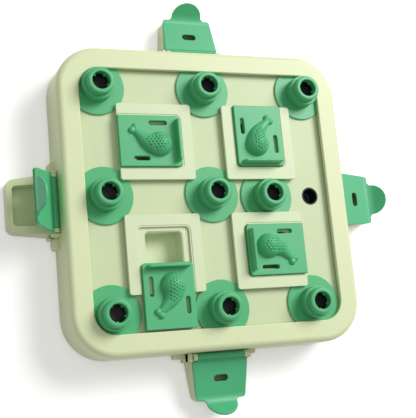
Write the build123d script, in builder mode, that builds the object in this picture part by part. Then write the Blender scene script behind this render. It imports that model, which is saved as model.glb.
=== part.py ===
from build123d import *
import os
from math import cos, radians, sin

# Sliding-peg puzzle feeder board for dogs, in millimetres.
# Nine hollow pegs slide in the channels between four raised guide frames,
# four panels slide out of the frames over their treat wells,
# and four hinged lids close the treat trays that hang on the sides.
# Origin: centre of the plane that the board rests on, +Z up, +Y to the back.

# ---- board ----
peg_pitch = 100.0            # centre to centre of the nine peg homes
board_depth = 37.0           # bottom edge of the wall to the track surface
foot_height = 1.5            # how far the feet lift the wall off the ground
rim_rise = 6.3               # track surface to the top of the rim
wall = 2.2
rim_wall = 2.5
disc_gap = 8.2               # disc of a peg at home to the wall's inner face
home_gap = 2.2               # tower of a peg at home to the edge of the recess
channel_gap = 1.0            # tower to the guide frame on each side of a channel
corner_offset = 2.0          # centre of a corner's rounding to the corner home, each way
recess_corner_offset = 1.4
rim_edge_radius = 5.5
lip_width = 2.4              # downturned lip round the recess
lip_edge_radius = 0.8
slide_gap = 0.2              # running gap below a sliding piece
fit_gap = 0.3                # gap beside or above a sliding piece
seat_gap = 0.2               # gap beside a piece that stays put
press_gap = 0.1              # gap round a piece that is pressed in
root = 0.2                   # depth that a rib or post sinks into what carries it
tiny = 0.01                  # margin when an edge is picked by its place
stop_reach = 4.2             # stops in the housing that the deck bears on
stop_width = 2.0
stop_place = 60.0

# ---- pegs ----
disc_radius = 25.6
disc_thickness = 1.8
peg_height = 20.5            # track surface to the peg's top
tier_radii = (14.4, 12.0)
ledge_height = 13.4          # track surface to the ledge between the tiers
tier_rounding = (1.0, 2.0)
bore_radius = 7.8
peg_wall = 1.7
peg_floor_height = 8.0       # track surface to the floor inside the bore
tooth_count = 5
tooth_turn = -90             # degrees from the peg's x axis to the first tooth
tooth_reach = 1.3
tooth_width = 1.8
tooth_drop = 4.5             # peg top to the teeth
tooth_height = 2.2
tooth_root = 0.2             # depth that a tooth sinks into the bore's wall
floor_gap = 0.05             # round the floor that is pressed into the tower
floor_lift = 0.1             # edge of the floor's skirt above the disc's underside

# ---- where the pegs stand ----
slid_gap = 2.8               # between the discs of the centre and the middle right peg
back_nudge = 2.4             # centre and middle left pegs, pushed to the back
side_nudge = 0.9             # middle left peg, pushed to the right
front_right_drawn = 10.3     # front right peg, pushed to the left

# ---- treat cups under the pegs ----
cup_radius = 8.3
cup_wall = 1.2
cup_depth = 14.0
cup_flange = 2.7
cup_flange_thickness = 1.2
cup_rim_drop = 0.05
cup_floor_radius = 2.0

# ---- guide frames ----
frame_top = 5.9              # track surface to the frame's top
frame_arm = 10.6
frame_end_wall = 10.7
frame_corner_radius = 2.5
frame_edge_radius = 0.6
frame_ledge = 0.8            # floor that the panel runs on
frame_lip = 1.4              # top of the arm over the panel's runner
frame_step = 0.5             # stepped border round the opening
frame_step_width = 1.3
frame_run_out = 8.0          # the opening's cut runs out past the frame's open end
opening_corner_radius = 4.0
runner_reach = 1.6
runner_inset = 2.0           # end of the opening to the runner's groove
well_side = 7.5              # edge of the opening to the well, at the sides
well_end = 4.9               # the same at the closed end
well_corner_radius = 4.5
well_depth = 14.0            # below the track surface
well_wall = 1.3
well_chamfer = 1.2
pedestal = 0.9               # shoulder of the well that carries the frame
hook_reach = 0.9             # snap hooks below the deck
hook_height = 3.2
hook_length = 8.0

# ---- sliding panels ----
panel_thickness = 5.0
panel_side_gap = 0.8         # edge of the opening to the panel
panel_end_gap = 1.6          # the same at the closed end
panel_edge_radius = 0.5
runner_thickness = 0.9
runner_length = 21.5         # short, so that it stays in the groove when the panel is out
panel_stop_gap = 0.8         # outer edge of a panel that is right out to the recess's edge
panel_short = 0.7            # front left panel to its outer stop
ridge_margin = 3.7           # side of the panel to the end of the ridge
ridge_base = 5.2
ridge_height = 8.0
ridge_place = 3.4            # inner end of the panel to the ridge's middle
ridge_taper = 14
slot_width = 3.8
inner_slot_length = 17.0
inner_slot_place = 20.4      # inner end of the panel to the slot's middle
inner_slot_edge = 7.0        # side of the panel to the slot's middle
outer_slot_length = 15.0
outer_slot_place = 37.3
outer_slot_edge = 7.2

# ---- drumstick handle: centre along, across, and radius of each section ----
meat = (20.0, 3.2, 11.4)
shank = ((26.6, 2.5, 9.6), (32.6, -0.2, 7.0), (37.4, -4.6, 4.8), (42.2, -9.4, 3.7))
knuckles = ((45.0, -9.1, 3.4), (41.9, -12.2, 3.4))
handle_sink = 0.10           # share of each radius that lies below the panel's face
section_count = 15

# ---- deck ----
deck_thickness = 2.0
deck_gap = 0.5               # deck's edge to the wall
screw_radius = 1.2
screw_head_radius = 2.8
deck_screw_head_radius = 2.2
screw_head_height = 2.0
screw_gap = 0.15             # round a shank in the deck
cover_screw_gap = 0.3        # round a shank and a head in the cover
pilot_gap = 0.05             # round a shank in its boss or post
pilot_spare = 1.0            # depth of a pilot hole beyond its screw
post_radius = 3.1
post_edge = 5.2              # corner's outer face to the middle of its post
boss_radius = 3.75
boss_inset = 18.0            # wall's outer face to the outer screws
screw_depth = 10.0

# ---- bottom cover and feet ----
cover_thickness = 2.2
cover_boss_radius = 4.6
cover_boss_height = 2.5
head_sink = 0.4              # screw head below the cover's underside
foot_radius = 8.0
foot_inset = 31.0
foot_recess = 0.6
foot_chamfer = 0.5
rest_boss_radius = 20.0

# ---- trays ----
hinge_offset = 3.8           # wall's face to the lid's axis
hinge_height = 25.0
lid_slope = 11.8             # degrees that a closed lid falls outwards
tray_gap = 7.6               # wall's face to the tray's box
tray_length = 34.8
tray_root_half = 26.8
tray_end_half = 22.8
tray_corner_radius = 7.0
tray_wall = 2.2
tray_floor = 2.0
tray_root_side = 8.8         # side wall of the box at the root
tray_end_side = 5.4
tray_well_corner_radius = 3.0
tray_rim = 5.2
shoulder_width = 3.4         # outside of an ear to the end of the root
shoulder_height = 24.0
ear_thickness = 3.6
ear_radius = 3.2
ear_slot = 0.6
ear_gap = 0.5                # barrel's end to the ear
dock_width = 9.1             # end of the root to the end of the dock
dock_reach = 4.2
dock_height = 14.0
dock_corner_radius = 2.5
tongue_reach = 1.5
tongue_width = 1.8
tongue_offset = 1.4
tongue_drop = 0.5            # top of the tongue below the top of the dock

# ---- lids ----
barrel_radius = 3.0
barrel_half = 21.9
pin_radius = 1.5
pin_clearance = 0.06
lid_root = 4.0               # axis to the sheet's inner edge
lid_side_gap = 0.8           # side of the box to the side of the lid, at the root
lid_overhang = 0.7           # the same at the outer end, the other way
lid_short = 0.4
lid_thickness = 2.0
skirt_drop = 1.7
skirt_wall = 1.6
skirt_lead = 0.7             # sheet's inner edge to the skirt
skirt_inset = 1.6            # sheet's shoulders to the skirt
lid_gap = 0.3
curl_lead = 4.2              # start of the curl to the sheet's shoulders
curl_radius = 10.5
curl_angle = 55.5
tab_length = 10.9
tab_inset = 6.5              # side of the lid to the root of the tab
tab_taper = 2.4
shoulder_radius = 2.6
scent_slot_place = 20.1
scent_slot_length = 13.4
scent_slot_width = 6.0
groove_lead = 1.2            # sheet's inner edge to the groove's middle
groove_width = 0.9
groove_depth = 0.5
open_lid_angle = 68.8        # the left lid stands open

# ---- plan ----
half = peg_pitch + disc_radius + disc_gap + wall
housing_size = 2 * half
corner_radius = half - peg_pitch + corner_offset
inside = housing_size - 2 * wall
inner_radius = corner_radius - wall
recess_half = peg_pitch + tier_radii[0] + home_gap
recess_size = 2 * recess_half
recess_corner_radius = recess_half - peg_pitch + recess_corner_offset
post_place = half - corner_radius + (corner_radius - post_edge) * cos(radians(45))
boss_place = half - boss_inset
foot_place = half - foot_inset
frame_place = peg_pitch / 2
frame_half = frame_place - tier_radii[0] - channel_gap
frame_size = 2 * frame_half
opening_start = frame_end_wall - frame_half
opening_width = frame_size - 2 * frame_arm
well_length = -2 * (opening_start + well_end)
well_width = opening_width - 2 * well_side
well_outer = (well_length + 2 * well_wall, well_width + 2 * well_wall)
panel_width = opening_width - 2 * panel_side_gap
panel_start = opening_start + panel_end_gap
panel_length = frame_half - panel_start
panel_open = recess_half - frame_place - frame_half - panel_stop_gap - panel_short
cup_inner_radius = cup_radius - cup_wall
ear_start = barrel_half + ear_gap
root_half = ear_start + ear_thickness + shoulder_width
dock_half = root_half + dock_width
hinge_distance = half + hinge_offset
tray_start = half + tray_gap
tray_end = tray_start + tray_length
lid_root_half = tray_root_half - lid_side_gap
lid_end_half = tray_end_half + lid_overhang
lid_end = tray_end - hinge_distance - lid_short
skirt_start = lid_root + skirt_lead
skirt_end = lid_end - skirt_inset
curl_start = lid_end - curl_lead
tab_root_half = lid_end_half - tab_inset
tab_half = tab_root_half - tab_taper

# ---- heights ----
deck_top = foot_height + board_depth
deck_bottom = deck_top - deck_thickness
rim_top = deck_top + rim_rise
cavity_top = rim_top - rim_wall
disc_top = slide_gap + disc_thickness
under_clear = disc_top + 2 * slide_gap      # underside of rim lip and frames
ledge_top = under_clear + frame_ledge
panel_bottom = ledge_top + slide_gap
panel_top = panel_bottom + panel_thickness
cover_top = foot_height + cover_thickness
cover_boss_top = cover_top + cover_boss_height
head_top = foot_height + screw_head_height + head_sink
rim_offset = lid_thickness + skirt_drop + lid_gap

# ---- patterns ----
homes = [-peg_pitch, 0, peg_pitch]
cup_places = [(x, y) for x in homes for y in homes]
cup_names = ["front_left", "middle_left", "back_left"]
cup_names += ["front_middle", "centre", "back_middle"]
cup_names += ["front_right", "middle_right", "back_right"]
post_places = [(x, y) for x in (-post_place, post_place) for y in (-post_place, post_place)]
foot_places = [(x, y) for x in (-foot_place, foot_place) for y in (-foot_place, foot_place)]
inner_screws = [(frame_place, 0), (-frame_place, 0), (0, frame_place), (0, -frame_place)]
outer_screws = [(x, y) for x in (-boss_place, boss_place) for y in (-frame_place, frame_place)]
outer_screws += [(y, x) for x, y in outer_screws]
screw_places = inner_screws + outer_screws

# where each frame stands and which way it opens, and where each side faces
frames = {
    "back_left": (-frame_place, frame_place, 180),
    "back_right": (frame_place, frame_place, 90),
    "front_right": (frame_place, -frame_place, 0),
    "front_left": (-frame_place, -frame_place, 270),
}
sides = {"right": 0, "back": 90, "left": 180, "front": 270}

# where the pegs stand: home, or pushed along a channel
peg_places = {
    "back_left": (-peg_pitch, peg_pitch),
    "back_middle": (0, peg_pitch),
    "back_right": (peg_pitch, peg_pitch),
    "middle_left": (side_nudge - peg_pitch, back_nudge),
    "centre": (0, back_nudge),
    "middle_right": (2 * disc_radius + slid_gap, 0),
    "front_left": (-peg_pitch, -peg_pitch),
    "front_middle": (0, -peg_pitch),
    "front_right": (peg_pitch - front_right_drawn, -peg_pitch),
}

os.makedirs("parts", exist_ok=True)


def save(part, name):
    """Label one finished piece and write its STEP file."""
    part.label = name
    export_step(part, f"parts/{name}.step")


def facing(angle, x=0.0, y=0.0, z=0.0):
    """Level plane at a point, with its x axis turned by an angle about +Z."""
    turn = radians(angle)
    return Plane(origin=(x, y, z), x_dir=(cos(turn), sin(turn), 0), z_dir=(0, 0, 1))


def standing(level, along=0.0, across=0.0, up=0.0):
    """Upright plane on a level plane: its x runs along, its y up, its normal to the right."""
    origin = level.from_local_coords((along, across, up))
    return Plane(origin=origin, x_dir=level.x_dir, z_dir=-level.y_dir)


def lid_plane(angle, opening):
    """Plane of a lid's top face, at the middle of its hinge axis."""
    tilt = radians(opening - lid_slope)
    outward = facing(angle).x_dir
    up = Vector(0, 0, 1)
    return Plane(
        origin=outward * hinge_distance + up * hinge_height,
        x_dir=outward * cos(tilt) + up * sin(tilt),
        z_dir=up * cos(tilt) - outward * sin(tilt),
    )


# ---- housing: top shell with a flat rim, a lip round the recess and tray docks ----
with BuildPart() as housing:
    with BuildSketch(Plane.XY.offset(foot_height)):
        RectangleRounded(housing_size, housing_size, corner_radius)
    extrude(amount=rim_top - foot_height)
    fillet(housing.faces().sort_by(Axis.Z)[-1].edges(), rim_edge_radius)
    # docks: a stub on each side of each tray, with a slot for the tray's tongue
    for angle in sides.values():
        side = facing(angle, z=foot_height)
        with BuildSketch(side):
            with Locations((half, 0)):
                Rectangle(2 * dock_reach, 2 * dock_half)
                Rectangle(2 * dock_reach, 2 * root_half + 2 * seat_gap, mode=Mode.SUBTRACT)
        extrude(amount=dock_height)
    outer_dock_edges = housing.edges().filter_by(Axis.Z).filter_by(
        lambda edge: max(abs(edge.center().X), abs(edge.center().Y)) > half + dock_reach - tiny
        and min(abs(edge.center().X), abs(edge.center().Y)) > dock_half - tiny
    )
    fillet(outer_dock_edges, dock_corner_radius)
    for angle in sides.values():
        side = facing(angle, z=foot_height)
        with BuildSketch(side.offset(tray_floor)):
            with Locations((half + tongue_offset + tongue_width / 2, 0)):
                Rectangle(tongue_width + 2 * seat_gap, 2 * (root_half + tongue_reach + seat_gap))
        extrude(amount=dock_height, mode=Mode.SUBTRACT)
    # hollow, open below, with the cavity's edge following the outer rounding
    with BuildSketch(Plane.XY.offset(foot_height)):
        RectangleRounded(inside, inside, inner_radius)
    extrude(amount=cavity_top - foot_height, mode=Mode.SUBTRACT)
    cavity_edges = housing.edges().filter_by_position(Axis.Z, cavity_top - tiny, cavity_top + tiny)
    fillet(cavity_edges, rim_edge_radius - wall)
    # lip round the recess, then the recess itself
    with BuildSketch(Plane.XY.offset(deck_top + under_clear)):
        RectangleRounded(
            recess_size + 2 * lip_width,
            recess_size + 2 * lip_width,
            recess_corner_radius + lip_width,
        )
    extrude(amount=cavity_top - deck_top - under_clear)
    with BuildSketch(Plane.XY.offset(deck_top)):
        RectangleRounded(recess_size, recess_size, recess_corner_radius)
    extrude(amount=rim_rise, mode=Mode.SUBTRACT)
    fillet(
        housing.edges()
        .filter_by_position(Axis.Z, rim_top - tiny, rim_top + tiny)
        .filter_by(lambda edge: edge.center().length < half * 0.999)
        .filter_by_position(Axis.X, -recess_size / 2 - tiny, recess_size / 2 + tiny)
        .filter_by_position(Axis.Y, -recess_size / 2 - tiny, recess_size / 2 + tiny),
        lip_edge_radius,
    )
    # stops that the deck bears on, three to a side, and the corner screw posts
    with BuildSketch(Plane.XY.offset(deck_top)):
        with Locations(post_places):
            Circle(post_radius)
    extrude(amount=cavity_top - deck_top + root)
    for angle in sides.values():
        with BuildSketch(facing(angle, z=deck_top)):
            with Locations(*[(inside / 2 + root, y) for y in (-stop_place, 0, stop_place)]):
                Rectangle(stop_reach + root, stop_width, align=(Align.MAX, Align.CENTER))
        extrude(amount=cavity_top - deck_top + root)
    with BuildSketch(Plane.XY.offset(deck_top)):
        with Locations(post_places):
            Circle(screw_radius + pilot_gap)
    extrude(amount=cavity_top - deck_top + pilot_spare, mode=Mode.SUBTRACT)
save(housing.part, "housing")

# ---- deck: the track board, let in from below against the stops ----
with BuildPart() as deck:
    deck_size = inside - 2 * deck_gap
    with BuildSketch(Plane.XY.offset(deck_bottom)):
        RectangleRounded(deck_size, deck_size, inner_radius - deck_gap)
        with Locations(cup_places):
            Circle(cup_radius + press_gap, mode=Mode.SUBTRACT)
        with Locations(post_places):
            Circle(screw_radius + screw_gap, mode=Mode.SUBTRACT)
    extrude(amount=deck_thickness)
    # holes that the guide frames' wells drop through
    for x, y, angle in frames.values():
        with BuildSketch(facing(angle, x, y, deck_bottom)):
            RectangleRounded(
                well_outer[0] + 2 * seat_gap, well_outer[1] + 2 * seat_gap, well_corner_radius
            )
        extrude(amount=deck_thickness, mode=Mode.SUBTRACT)
save(deck.part, "deck")

# ---- bosses welded under the deck, which the cover is screwed to ----
with BuildPart() as deck_bosses:
    with BuildSketch(Plane.XY.offset(cover_boss_top)):
        with Locations(screw_places):
            Circle(boss_radius)
    extrude(amount=deck_bottom - cover_boss_top)
    with BuildSketch(Plane.XY.offset(cover_boss_top)):
        with Locations(screw_places):
            Circle(screw_radius + pilot_gap)
    extrude(amount=screw_depth + pilot_spare, mode=Mode.SUBTRACT)
save(deck_bosses.part, "deck_bosses")

# ---- bottom cover: flat plate inside the wall, screwed to the deck ----
with BuildPart() as bottom_cover:
    cover_size = inside - 2 * fit_gap
    with BuildSketch(Plane.XY.offset(foot_height)):
        RectangleRounded(cover_size, cover_size, inner_radius - fit_gap)
    extrude(amount=cover_thickness)
    with BuildSketch(Plane.XY.offset(cover_top)):
        with Locations(screw_places):
            Circle(cover_boss_radius)
    extrude(amount=cover_boss_height)
    # counterbores for the screw heads, and the screw holes above them
    with BuildSketch(Plane.XY.offset(foot_height)):
        with Locations(screw_places):
            Circle(screw_head_radius + cover_screw_gap)
    extrude(amount=head_top - foot_height, mode=Mode.SUBTRACT)
    with BuildSketch(Plane.XY.offset(head_top)):
        with Locations(screw_places):
            Circle(screw_radius + cover_screw_gap)
    extrude(amount=cover_boss_top - head_top, mode=Mode.SUBTRACT)
    # recesses for the feet, and the pad that the board rests on between them
    with BuildSketch(Plane.XY.offset(foot_height)):
        with Locations(foot_places):
            Circle(foot_radius + press_gap)
    extrude(amount=foot_recess, mode=Mode.SUBTRACT)
    with BuildSketch(Plane.XY):
        Circle(rest_boss_radius)
    extrude(amount=foot_height)
save(bottom_cover.part, "bottom_cover")

# ---- rubber feet, each stuck in its recess ----
for row, y in (("front", -foot_place), ("back", foot_place)):
    for column, x in (("left", -foot_place), ("right", foot_place)):
        with BuildPart() as foot:
            with BuildSketch():
                with Locations((x, y)):
                    Circle(foot_radius)
            extrude(amount=foot_height + foot_recess)
            chamfer(foot.faces().sort_by(Axis.Z)[0].edges(), foot_chamfer)
        save(foot.part, f"foot_{row}_{column}")

# ---- screws: pan heads below, shanks up into the bosses and posts ----
with BuildPart() as cover_screws:
    with BuildSketch(Plane.XY.offset(head_top)):
        with Locations(screw_places):
            Circle(screw_head_radius)
    extrude(amount=-screw_head_height)
    with BuildSketch(Plane.XY.offset(head_top)):
        with Locations(screw_places):
            Circle(screw_radius)
    extrude(amount=cover_boss_top - head_top + screw_depth)
save(cover_screws.part, "cover_screws")

with BuildPart() as deck_screws:
    with BuildSketch(Plane.XY.offset(deck_bottom)):
        with Locations(post_places):
            Circle(deck_screw_head_radius)
    extrude(amount=-screw_head_height)
    with BuildSketch(Plane.XY.offset(deck_bottom)):
        with Locations(post_places):
            Circle(screw_radius)
    extrude(amount=cavity_top - deck_bottom)
save(deck_screws.part, "deck_screws")

# ---- guide frames: U-shaped plates with a well that drops through the deck ----
for name, (x, y, angle) in frames.items():
    level = facing(angle, x, y, deck_top)
    opening_length = frame_size - frame_end_wall + frame_run_out
    opening_middle = opening_start + opening_length / 2
    with BuildPart() as guide_frame:
        with BuildSketch(level.offset(under_clear)):
            RectangleRounded(frame_size, frame_size, frame_corner_radius)
        extrude(amount=frame_top - under_clear)
        fillet(guide_frame.faces().sort_by(Axis.Z)[-1].edges(), frame_edge_radius)
        # well with the pedestal that stands on the deck
        with BuildSketch(level.offset(under_clear)):
            RectangleRounded(
                well_outer[0] + 2 * pedestal, well_outer[1] + 2 * pedestal, well_corner_radius
            )
        extrude(amount=-under_clear)
        with BuildSketch(level):
            RectangleRounded(*well_outer, well_corner_radius)
        extrude(amount=-well_depth - well_wall)
        # snap hooks under the deck
        cross = Plane(origin=level.origin, x_dir=level.y_dir, z_dir=level.x_dir)
        hook_root = well_outer[1] / 2 - root
        hook_top = -deck_thickness - press_gap
        with BuildSketch(cross):
            with BuildLine():
                Polyline(
                    (hook_root, hook_top),
                    (hook_root + root + hook_reach, hook_top),
                    (hook_root, hook_top - hook_height),
                    close=True,
                )
            make_face()
            mirror(about=Plane.YZ)
        extrude(amount=hook_length / 2, both=True)
        # opening, its stepped border and the grooves for the panel's runners
        with BuildSketch(level.offset(ledge_top)):
            with Locations((opening_middle, 0)):
                RectangleRounded(opening_length, opening_width, opening_corner_radius)
        extrude(amount=frame_top, mode=Mode.SUBTRACT)
        with BuildSketch(level.offset(frame_top - frame_step)):
            with Locations((opening_middle, 0)):
                RectangleRounded(
                    opening_length + 2 * frame_step_width,
                    opening_width + 2 * frame_step_width,
                    opening_corner_radius + frame_step_width,
                )
        extrude(amount=frame_top, mode=Mode.SUBTRACT)
        with BuildSketch(level.offset(ledge_top)):
            with Locations((opening_middle + runner_inset / 2, 0)):
                Rectangle(opening_length - runner_inset, opening_width + 2 * runner_reach)
        extrude(amount=frame_top - frame_lip - ledge_top, mode=Mode.SUBTRACT)
        # the well's inside, with a bevelled mouth
        with BuildSketch(level.offset(-well_depth)):
            RectangleRounded(well_length, well_width, well_corner_radius - well_wall)
        extrude(amount=well_depth + ledge_top, mode=Mode.SUBTRACT)
        mouth = guide_frame.edges().filter_by_position(
            Axis.Z, deck_top + ledge_top - tiny, deck_top + ledge_top + tiny
        ).filter_by(
            lambda edge: abs(level.to_local_coords(edge.center()).X) < well_length / 2 + tiny
            and abs(level.to_local_coords(edge.center()).Y) < well_width / 2 + tiny
        )
        chamfer(mouth, well_chamfer)
    save(guide_frame.part, f"guide_frame_{name}")

# ---- drumstick handle: a round body that runs into a bent shank with two knuckles ----
with BuildPart() as drumstick:
    with BuildLine():
        spine = Spline(meat, *shank)            # its height is the radius of the section there
    sections = []
    for step in range(section_count):
        share = step / (section_count - 1)
        along, across, radius = spine @ share
        heading = spine % share
        sections.append(
            Plane(
                origin=(along, across, -handle_sink * radius),
                x_dir=(0, 0, -1),
                z_dir=(heading.X, heading.Y, 0),
            )
        )
    with Locations(sections[0].origin):
        Sphere(meat[2])
    split(bisect_by=sections[0], keep=Keep.BOTTOM)
    for section in sections:
        with BuildSketch(section):
            Circle(-section.origin.Z / handle_sink)
    loft()
    for along, across, radius in knuckles:
        with Locations((along, across, -handle_sink * radius)):
            Sphere(radius)
    split(bisect_by=Plane.XY.offset(-root), keep=Keep.TOP)

# ---- sliding panels, the front left one drawn partly open ----
for name, (x, y, angle) in frames.items():
    drawn = panel_open if name == "front_left" else 0.0
    along = facing(angle).x_dir * (drawn + panel_start)
    level = facing(angle, x + along.X, y + along.Y, deck_top)
    handle = level.offset(panel_top).location * drumstick.part
    with BuildPart() as panel:
        with BuildSketch(level.offset(panel_bottom)):
            with Locations((panel_length / 2, 0)):
                RectangleRounded(panel_length, panel_width, opening_corner_radius - panel_side_gap)
            with Locations((panel_length, 0)):
                Rectangle(
                    opening_corner_radius * 2, panel_width, align=(Align.MAX, Align.CENTER)
                )
        extrude(amount=panel_thickness)
        fillet(panel.faces().sort_by(Axis.Z)[-1].edges(), panel_edge_radius)
        # runners in the frame's grooves
        with BuildSketch(level.offset(panel_bottom)):
            with Locations((opening_corner_radius, 0)):
                Rectangle(
                    runner_length,
                    opening_width + 2 * runner_reach - 2 * fit_gap,
                    align=(Align.MIN, Align.CENTER),
                )
        extrude(amount=runner_thickness)
        # finger ridge at the inner end
        with BuildSketch(level.offset(panel_top)):
            with Locations((ridge_place, 0)):
                Rectangle(ridge_base, panel_width - 2 * ridge_margin)
        extrude(amount=ridge_height, taper=ridge_taper)
        add(handle)
        with BuildSketch(level.offset(panel_bottom)):
            with Locations((inner_slot_place, inner_slot_edge - panel_width / 2)):
                SlotOverall(inner_slot_length, slot_width)
            with Locations((outer_slot_place, panel_width / 2 - outer_slot_edge)):
                SlotOverall(outer_slot_length, slot_width)
        extrude(amount=panel_thickness, mode=Mode.SUBTRACT)
    save(panel.part, f"panel_{name}")

# ---- treat cups: flush with the track, with a flange welded under the deck ----
for (x, y), name in zip(cup_places, cup_names):
    with BuildPart() as cup:
        with BuildSketch(Plane.XZ.offset(-y)):
            with BuildLine():
                Polyline(
                    (x, -cup_depth - cup_wall),
                    (x + cup_radius, -cup_depth - cup_wall),
                    (x + cup_radius, -deck_thickness - cup_flange_thickness),
                    (x + cup_radius + cup_flange, -deck_thickness - cup_flange_thickness),
                    (x + cup_radius + cup_flange, -deck_thickness),
                    (x + cup_radius, -deck_thickness),
                    (x + cup_radius, -cup_rim_drop),
                    (x + cup_inner_radius, -cup_rim_drop),
                    (x + cup_inner_radius, -cup_depth),
                    (x, -cup_depth),
                    close=True,
                )
            make_face()
        revolve(axis=Axis((x, y, 0), (0, 0, 1)))
        fillet(cup.edges().filter_by(GeomType.CIRCLE).group_by(Axis.Z)[1], cup_floor_radius)
    save(Pos(0, 0, deck_top) * cup.part, f"treat_cup_{name}")

# ---- pegs: stepped hollow towers on a disc, with a ring of teeth in the bore ----
tier_inner = [radius - peg_wall for radius in tier_radii]
tooth_top = peg_height - tooth_drop
for name, (x, y) in peg_places.items():
    level = Plane(origin=(x, y, deck_top))
    upright = Plane(origin=(x, y, deck_top), x_dir=(1, 0, 0), z_dir=(0, -1, 0))
    with BuildPart() as peg:
        with BuildSketch(upright):
            with BuildLine():
                Polyline(
                    (0, slide_gap),
                    (disc_radius, slide_gap),
                    (disc_radius, disc_top),
                    (tier_radii[0], disc_top),
                    (tier_radii[0], ledge_height),
                    (tier_radii[1], ledge_height),
                    (tier_radii[1], peg_height),
                    (0, peg_height),
                    close=True,
                )
            make_face()
        revolve(axis=Axis(upright.origin, (0, 0, 1)))
        # rounded shoulders of the tiers
        for radius, height, rounding in zip(tier_radii, (ledge_height, peg_height), tier_rounding):
            shoulder = peg.edges().filter_by(GeomType.CIRCLE).filter_by(
                lambda edge: abs(edge.radius - radius) < tiny
                and abs(edge.center().Z - deck_top - height) < tiny
            )
            fillet(shoulder, rounding)
        # hollow from below, with the bore through the top
        with BuildSketch(level.offset(slide_gap)):
            Circle(tier_inner[0])
        extrude(amount=peg_floor_height - slide_gap, mode=Mode.SUBTRACT)
        with BuildSketch(level.offset(slide_gap)):
            Circle(tier_inner[1])
        extrude(amount=tooth_top - tooth_height - slide_gap, mode=Mode.SUBTRACT)
        with BuildSketch(level.offset(slide_gap)):
            Circle(bore_radius)
        extrude(amount=peg_height, mode=Mode.SUBTRACT)
        with BuildSketch(level.offset(tooth_top)):
            with PolarLocations(
                bore_radius + tooth_root - (tooth_reach + tooth_root) / 2,
                tooth_count,
                start_angle=tooth_turn,
            ):
                Rectangle(tooth_reach + tooth_root, tooth_width)
        extrude(amount=-tooth_height)
    save(peg.part, f"peg_{name}")
    # dark floor pressed up into the tower, with a skirt down to the disc
    with BuildPart() as peg_floor:
        floor_radius = tier_inner[0] - floor_gap
        skirt_bottom = slide_gap + floor_lift
        with BuildSketch(level.offset(skirt_bottom)):
            Circle(floor_radius)
        extrude(amount=peg_floor_height - skirt_bottom)
        with BuildSketch(level.offset(skirt_bottom)):
            Circle(floor_radius - peg_wall)
        extrude(amount=peg_floor_height - peg_wall - skirt_bottom, mode=Mode.SUBTRACT)
    save(peg_floor.part, f"peg_floor_{name}")

# ---- trays: tapered treat boxes with hinge ears, slid down onto the docks ----
for name, angle in sides.items():
    level = facing(angle, z=foot_height)
    with BuildPart() as tray:
        with BuildSketch(level):
            with BuildLine():
                Polyline(
                    (tray_start - root, tray_root_half),
                    (tray_end, tray_end_half),
                    (tray_end, -tray_end_half),
                    (tray_start - root, -tray_root_half),
                    close=True,
                )
            tray_outline = make_face()
            fillet(
                tray_outline.vertices().filter_by_position(
                    Axis.X, tray_end - tiny, tray_end + tiny
                ),
                tray_corner_radius,
            )
            with Locations(((half + seat_gap + tray_start) / 2, 0)):
                Rectangle(tray_start - half - seat_gap, 2 * root_half)
        extrude(amount=hinge_height)
        split(bisect_by=lid_plane(angle, 0).offset(-rim_offset), keep=Keep.BOTTOM)
        # treat well
        well_start = tray_start + tray_wall
        well_end = tray_end - tray_rim
        with BuildSketch(level.offset(tray_floor)):
            with BuildLine():
                Polyline(
                    (well_start, tray_root_half - tray_root_side),
                    (well_end, tray_end_half - tray_end_side),
                    (well_end, tray_end_side - tray_end_half),
                    (well_start, tray_root_side - tray_root_half),
                    close=True,
                )
            well_outline = make_face()
            fillet(well_outline.vertices(), tray_well_corner_radius)
        extrude(amount=hinge_height, mode=Mode.SUBTRACT)
        # shoulders beside the ears, and tongues in the docks
        for sign in (-1, 1):
            with BuildSketch(level.offset(shoulder_height / 2)):
                with Locations((half + seat_gap, sign * root_half)):
                    Rectangle(
                        tray_start - half - seat_gap,
                        root_half - ear_start - ear_thickness - ear_slot,
                        align=(Align.MIN, Align.MAX if sign > 0 else Align.MIN),
                    )
            extrude(amount=shoulder_height / 2)
        with BuildSketch(level.offset(tray_floor + press_gap)):
            with Locations((half + tongue_offset + tongue_width / 2, 0)):
                Rectangle(tongue_width, 2 * (root_half + tongue_reach))
        extrude(amount=dock_height - tray_floor - tongue_drop)
        # ears with rounded tops round the lid's stubs
        for sign in (-1, 1):
            outer = sign * (ear_start + (ear_thickness if sign > 0 else 0))
            ear_plane = standing(level, hinge_distance, outer, hinge_height - foot_height)
            with BuildSketch(ear_plane):
                Circle(ear_radius)
                Rectangle(2 * ear_radius, shoulder_height / 2, align=(Align.CENTER, Align.MAX))
                Circle(pin_radius + pin_clearance, mode=Mode.SUBTRACT)
            extrude(amount=ear_thickness)
    save(tray.part, f"tray_{name}")

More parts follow.
